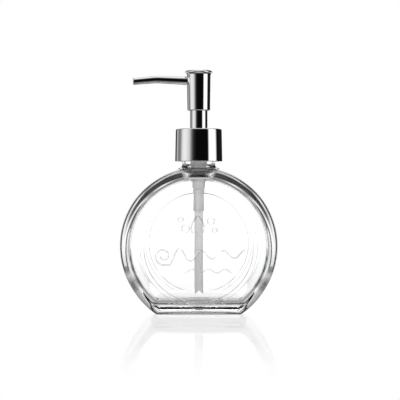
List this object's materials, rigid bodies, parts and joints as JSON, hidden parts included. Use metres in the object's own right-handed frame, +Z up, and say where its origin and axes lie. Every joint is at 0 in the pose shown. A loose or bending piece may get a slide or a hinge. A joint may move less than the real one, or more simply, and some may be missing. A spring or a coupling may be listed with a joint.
{
  "type": "soap pump dispenser",
  "caption": "Round, flat-based clear glass bottle with a chromed screw-on lotion pump: sprung press head, swivelling spout, dip tube.",
  "frame": {"origin": "middle of the bottle's flat base, on the surface it stands on", "axes": "+Z up along the pump's axis, +Y through the bottle's thickness towards its back face, -X the way the nozzle points, so the bottle's round front face looks along -Y"},
  "size_m": [0.1124, 0.052, 0.1733],
  "materials": {
    "bottle": "clear, colourless, polished moulded glass",
    "closure_cap": "natural white moulded polypropylene",
    "collar_shell": "mirror-bright plated metal",
    "neck_gasket": "soft white foamed liner",
    "pump_housing": "translucent natural polypropylene",
    "chaplet": "natural moulded polypropylene",
    "stem_seal": "soft dark seal",
    "guide_sleeve": "mirror-bright plated tube",
    "dip_tube": "translucent extruded polyethylene",
    "return_spring": "drawn stainless spring wire",
    "check_ball": "ground stainless ball",
    "piston": "soft white polyethylene",
    "stem": "natural moulded polypropylene",
    "stem_plug": "natural moulded polypropylene",
    "actuator_core": "light grey moulded plastic",
    "head_shell": "mirror-bright plated metal",
    "nozzle_tube": "mirror-bright plated tube",
    "nozzle_liner": "extruded plastic tube"
  },
  "bodies": {
    "bottle": {"bottle": "bottle"},
    "pump_body": {"pump_housing": "pump_housing", "chaplet": "chaplet", "stem_seal": "stem_seal", "guide_sleeve": "guide_sleeve", "neck_gasket": "neck_gasket", "dip_tube": "dip_tube", "return_spring": "return_spring"},
    "collar": {"closure_cap": "closure_cap", "collar_shell": "collar_shell"},
    "piston": {"piston": "piston"},
    "head": {"stem": "stem", "stem_plug": "stem_plug", "actuator_core": "actuator_core", "head_shell": "head_shell", "nozzle_tube": "nozzle_tube", "nozzle_liner": "nozzle_liner"},
    "check_ball": {"check_ball": "check_ball"}
  },
  "joints": [
    {"name": "pump_lift", "type": "slide", "parent": "bottle", "child": "pump_body", "axis": [0, 0, 1], "range_m": [0, 0.00529]},
    {"name": "collar_turn", "type": "hinge", "parent": "pump_body", "child": "collar", "pos_m": [0, 0, 0.10885], "axis": [0, 0, 1], "range_deg": [0, 450]},
    {"name": "pump_press", "type": "slide", "parent": "pump_body", "child": "piston", "axis": [0, 0, -1], "range_m": [0, 0.011], "stiffness_N_per_m": 500, "springref_m": -0.01, "deforming": ["return_spring"]},
    {"name": "head_turn", "type": "hinge", "parent": "piston", "child": "head", "pos_m": [0, 0, 0.1447], "axis": [0, 0, 1], "continuous": true},
    {"name": "ball_lift", "type": "slide", "parent": "pump_body", "child": "check_ball", "axis": [0, 0, 1], "range_m": [0, 0.0015]}
  ],
  "couplings": [
    {"joint": "collar_turn", "follows": "pump_lift", "rad_per_m": 1484.2}
  ]
}
